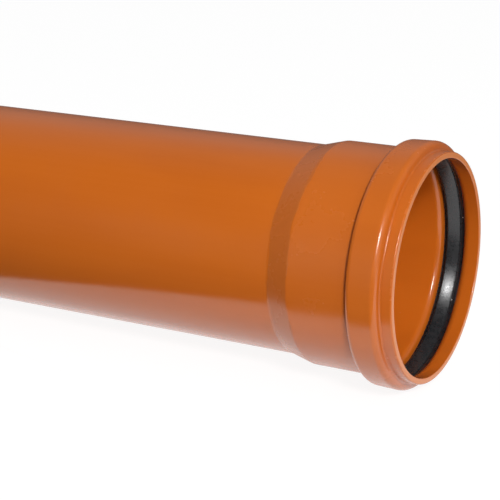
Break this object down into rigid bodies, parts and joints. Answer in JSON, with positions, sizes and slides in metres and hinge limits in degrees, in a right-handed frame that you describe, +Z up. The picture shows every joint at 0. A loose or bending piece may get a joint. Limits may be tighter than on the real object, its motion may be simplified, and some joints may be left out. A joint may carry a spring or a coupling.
{
  "type": "sewer pipe",
  "caption": "Socketed gravity sewer pipe: plain barrel with chamfered spigot, formed bell socket with bulged ring groove and a seated rubber lip seal.",
  "frame": {"origin": "on the floor, under the middle of the pipe's length, midway between its sides", "axes": "+Z up from the level floor; +X along the pipe towards the socket mouth, which the resting bulge lifts by about 0.6 degrees; +Y across the pipe"},
  "size_m": [1.0828, 0.1842, 0.1842],
  "materials": {
    "pipe_plastic": "satin",
    "seal_rubber": "satin"
  },
  "bodies": {
    "root": {"pipe": "pipe_plastic", "sealing_ring": "seal_rubber"}
  },
  "joints": []
}
